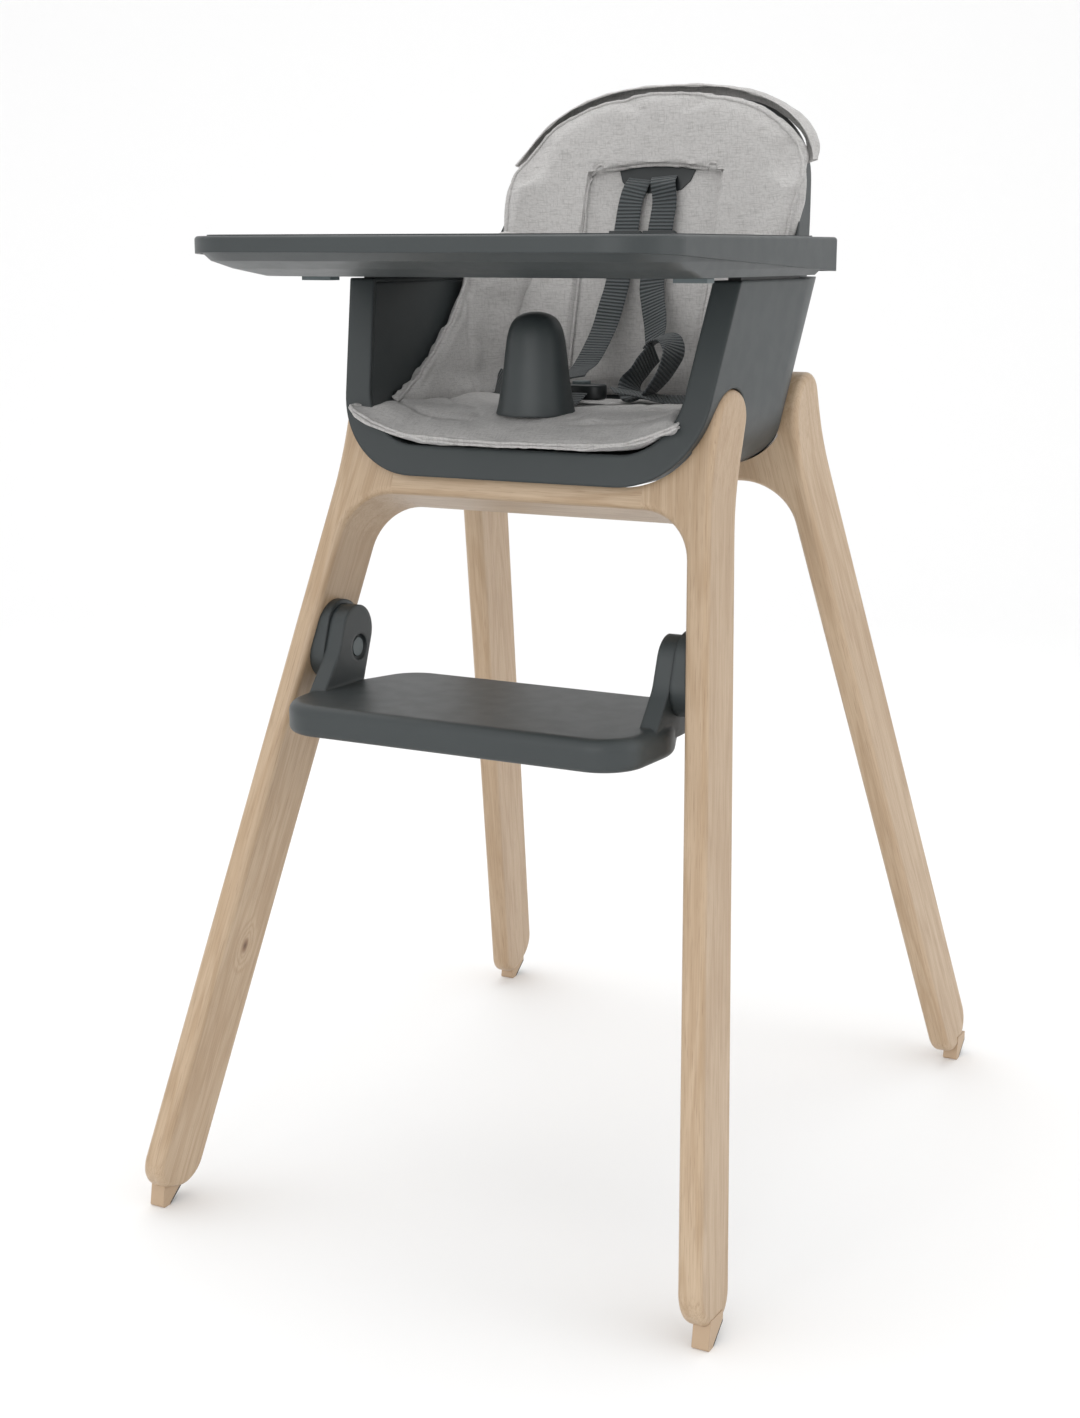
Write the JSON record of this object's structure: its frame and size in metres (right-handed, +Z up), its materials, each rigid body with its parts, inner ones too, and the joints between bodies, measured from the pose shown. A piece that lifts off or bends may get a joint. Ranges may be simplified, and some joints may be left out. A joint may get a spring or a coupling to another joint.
{
  "type": "baby high chair",
  "caption": "Baby high chair with wooden trestle legs, a double-walled bucket seat with padded cushions and harness, a slide-off tray and a removable footrest.",
  "frame": {"origin": "on the floor at the centre of the footprint", "axes": "+Z up, the chair faces -Y, +X is the seated child's left"},
  "size_m": [0.5306, 0.6841, 0.957],
  "materials": {
    "beech": "clear satin lacquer",
    "shell_plastic": "fine matte slate grey",
    "web": "ribbed woven polyester webbing",
    "seat_fabric": "heathered woven cloth over foam",
    "dark_plastic": "satin black plastic",
    "button_plastic": "satin grey plastic",
    "steel": "zinc plated",
    "rubber": "matte rubber"
  },
  "bodies": {
    "chair": {"seat_shell": "shell_plastic", "seat_liner": "shell_plastic", "crotch_post": "shell_plastic", "tray_runners": "dark_plastic", "horn_bolts": "steel", "horn_inserts": "steel", "horn_spacers": "steel", "shell_screws": "steel", "seat_cushion": "seat_fabric", "back_cushion": "seat_fabric", "side_cushion_left": "seat_fabric", "side_cushion_right": "seat_fabric", "harness_slot_plate": "dark_plastic", "shoulder_strap_left": "web", "shoulder_strap_right": "web", "hip_loop": "web", "waist_strap_left": "web", "waist_strap_right": "web", "crotch_strap": "web", "buckle_body": "dark_plastic", "front_rail": "beech", "front_leg_left": "beech", "front_leg_right": "beech", "rear_rail": "beech", "rear_leg_left": "beech", "rear_leg_right": "beech", "front_dowels": "beech", "rear_dowels": "beech", "foot_toes": "beech", "foot_soles": "rubber", "footrest_mount_left": "shell_plastic", "footrest_mount_right": "shell_plastic", "mount_screws": "steel"},
    "tray": {"tray_base": "shell_plastic", "tray_underside": "shell_plastic"},
    "tray_cover": {"tray_cover": "shell_plastic"},
    "tray_lever_left": {"tray_lever_left": "button_plastic"},
    "tray_lever_right": {"tray_lever_right": "button_plastic"},
    "footrest": {"footrest": "shell_plastic", "footrest_spring_left": "steel", "footrest_spring_right": "steel"},
    "footrest_button_left": {"footrest_button_left": "button_plastic"},
    "footrest_button_right": {"footrest_button_right": "button_plastic"},
    "buckle_button": {"buckle_button": "button_plastic"},
    "strap_adjuster_left": {"strap_adjuster_left": "dark_plastic"},
    "strap_adjuster_right": {"strap_adjuster_right": "dark_plastic"}
  },
  "joints": [
    {"name": "tray_slide", "type": "slide", "parent": "chair", "child": "tray", "axis": [0, -1, 0], "range_m": [0, 0.14]},
    {"name": "tray_cover_lift", "type": "slide", "parent": "tray", "child": "tray_cover", "axis": [0, 0, 1], "range_m": [0, 0.05]},
    {"name": "tray_lever_left_squeeze", "type": "slide", "parent": "tray", "child": "tray_lever_left", "axis": [-1, 0, 0], "range_m": [0, 0.005], "stiffness_N_per_m": 400},
    {"name": "tray_lever_right_squeeze", "type": "slide", "parent": "tray", "child": "tray_lever_right", "axis": [1, 0, 0], "range_m": [0, 0.005], "stiffness_N_per_m": 400},
    {"name": "footrest_pull", "type": "slide", "parent": "chair", "child": "footrest", "axis": [0, -1, 0], "range_m": [0, 0.06]},
    {"name": "footrest_button_left_press", "type": "slide", "parent": "footrest", "child": "footrest_button_left", "axis": [1, 0, 0], "range_m": [0, 0.0025], "stiffness_N_per_m": 300, "deforming": ["footrest_spring_left"]},
    {"name": "footrest_button_right_press", "type": "slide", "parent": "footrest", "child": "footrest_button_right", "axis": [-1, 0, 0], "range_m": [0, 0.0025], "stiffness_N_per_m": 300, "deforming": ["footrest_spring_right"]},
    {"name": "buckle_press", "type": "slide", "parent": "chair", "child": "buckle_button", "axis": [0, 0, -1], "range_m": [0, 0.0025], "stiffness_N_per_m": 300},
    {"name": "strap_adjuster_left_slide", "type": "slide", "parent": "chair", "child": "strap_adjuster_left", "axis": [0, 0.3434, 0.9392], "range_m": [-0.02, 0.02]},
    {"name": "strap_adjuster_right_slide", "type": "slide", "parent": "chair", "child": "strap_adjuster_right", "axis": [0, 0.3434, 0.9392], "range_m": [-0.02, 0.02]}
  ]
}
